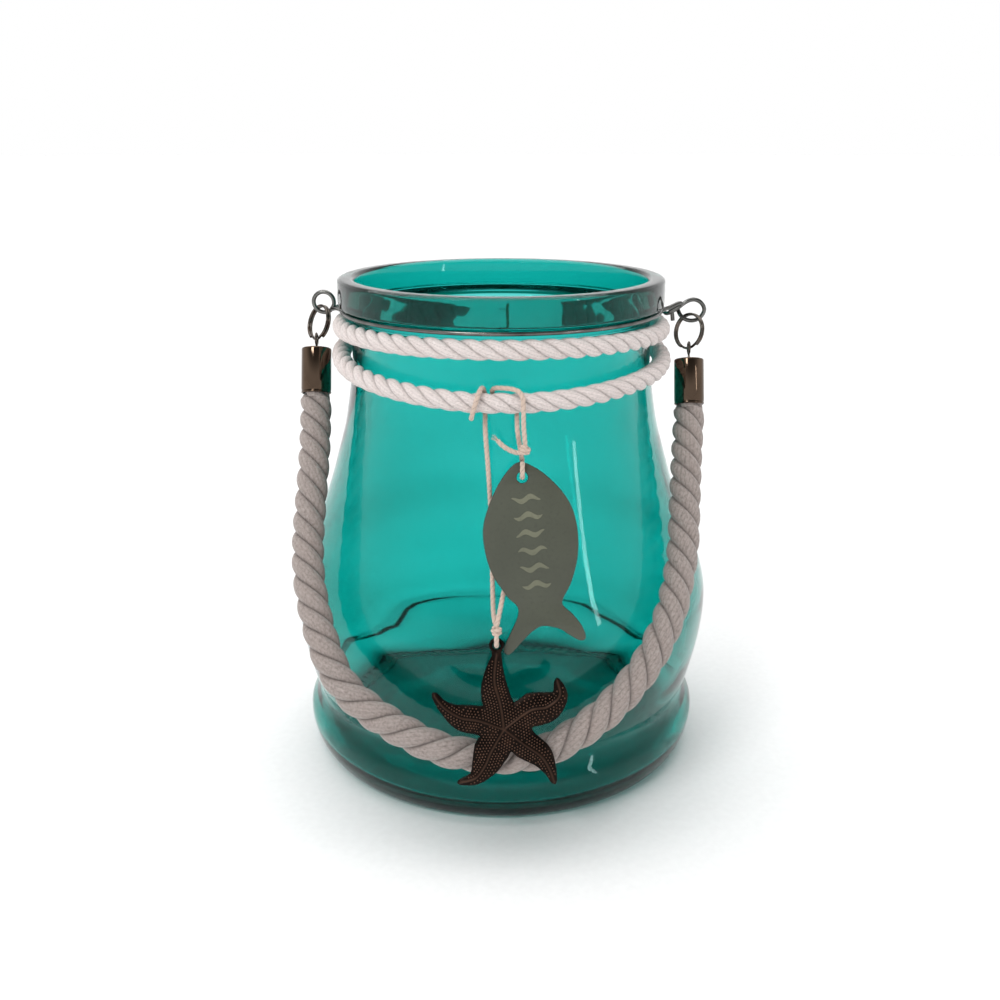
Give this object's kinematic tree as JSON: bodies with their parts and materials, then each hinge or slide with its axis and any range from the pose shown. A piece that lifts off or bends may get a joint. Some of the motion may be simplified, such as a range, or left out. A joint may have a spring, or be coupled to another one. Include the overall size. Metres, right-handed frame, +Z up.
{
  "type": "glass jar lantern",
  "caption": "Teal glass jar lantern with a rope-wrapped neck, a swinging rope handle on split rings, a hanging fish tag and a starfish pendant.",
  "frame": {"origin": "centre of the jar's flat underside, on the surface it stands on", "axes": "+Z up along the jar's axis, -Y to the front where the tag and the starfish hang, +X to the viewer's right"},
  "size_m": [0.148, 0.1655, 0.1685],
  "materials": {
    "teal_glass": "clear tinted moulded glass",
    "dark_steel_wire": "dull dark steel wire",
    "ring_steel": "dark polished steel",
    "gunmetal": "polished gunmetal plating",
    "white_cotton_rope": "soft three-strand cotton",
    "grey_cotton_rope": "soft three-strand cotton",
    "olive_twine": "thin waxed twine",
    "cream_string": "loosely twisted cotton string",
    "tag_grey_green": "matt grey-green paint with dark worn edges",
    "antique_bronze": "darkened antique bronze casting"
  },
  "bodies": {
    "jar": {"glass_jar": "teal_glass", "collar_wire": "dark_steel_wire", "neck_rope": "white_cotton_rope", "back_tie": "olive_twine"},
    "rings": {"split_ring_left": "ring_steel", "split_ring_right": "ring_steel"},
    "handle": {"eye_pin_left": "ring_steel", "eye_pin_right": "ring_steel", "end_cap_left": "gunmetal", "end_cap_right": "gunmetal", "handle_rope": "grey_cotton_rope"},
    "star_line": {"star_string": "cream_string"},
    "starfish": {"starfish_pendant": "antique_bronze"},
    "fish_line": {"fish_string": "cream_string"},
    "fish": {"fish_tag": "tag_grey_green"}
  },
  "joints": [
    {"name": "rings_swing", "type": "hinge", "parent": "jar", "child": "rings", "pos_m": [-0.0617, 0.0005, 0.15605], "axis": [-0.9997, 0.0024, 0.0226], "range_deg": [0, 75], "deforming": ["handle_rope"]},
    {"name": "handle_swing", "type": "hinge", "parent": "rings", "child": "handle", "pos_m": [-0.06302, -0.00285, 0.14731], "axis": [-0.9997, 0.0026, 0.0231], "range_deg": [0, 60], "deforming": ["handle_rope"]},
    {"name": "star_line_swing", "type": "hinge", "parent": "jar", "child": "star_line", "pos_m": [0, -0.0571, 0.1379], "axis": [-1, 0, 0], "range_deg": [0, 80]},
    {"name": "fish_line_swing", "type": "hinge", "parent": "jar", "child": "fish_line", "pos_m": [0, -0.0571, 0.1379], "axis": [-1, 0, 0], "range_deg": [0, 80]},
    {"name": "starfish_sway", "type": "hinge", "parent": "star_line", "child": "starfish", "pos_m": [-0.0014, -0.0783, 0.0688], "axis": [0, -0.9588, 0.284], "range_deg": [-10, 8]},
    {"name": "fish_sway", "type": "hinge", "parent": "fish_line", "child": "fish", "pos_m": [0.0063, -0.0627, 0.1166], "axis": [0, -0.9646, 0.2639], "range_deg": [0, 15]}
  ],
  "couplings": [
    {"joint": "fish_line_swing", "follows": "star_line_swing", "ratio": 1}
  ]
}
